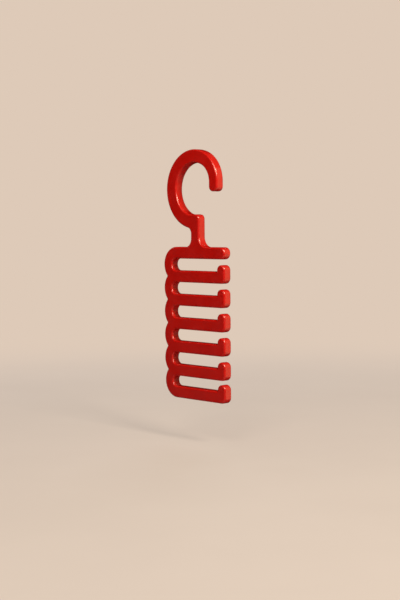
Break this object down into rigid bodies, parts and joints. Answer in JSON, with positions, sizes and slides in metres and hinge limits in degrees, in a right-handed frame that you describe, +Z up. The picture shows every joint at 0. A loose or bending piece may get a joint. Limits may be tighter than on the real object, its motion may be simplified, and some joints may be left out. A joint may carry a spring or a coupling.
{
  "type": "belt hanger",
  "caption": "Flat plastic hanger for belts: a round rail hook on a short neck, above a ladder of straight arms that are joined by loops at one side and end in upturned lips.",
  "frame": {"origin": "the middle of the plate's thickness at the top of the hook's inside, where the rail bears", "axes": "+Z up, +X towards the arms' free ends, and the plate's front faces -Y"},
  "size_m": [0.093, 0.01, 0.2626],
  "materials": {
    "plastic": "red moulded plastic with a satin sheen"
  },
  "bodies": {
    "root": {"hook": "plastic", "neck": "plastic", "top_bar": "plastic", "end_loop_1": "plastic", "end_loop_2": "plastic", "end_loop_3": "plastic", "end_loop_4": "plastic", "end_loop_5": "plastic", "end_loop_6": "plastic", "arm_1": "plastic", "arm_2": "plastic", "arm_3": "plastic", "arm_4": "plastic", "arm_5": "plastic", "arm_6": "plastic"}
  },
  "joints": []
}
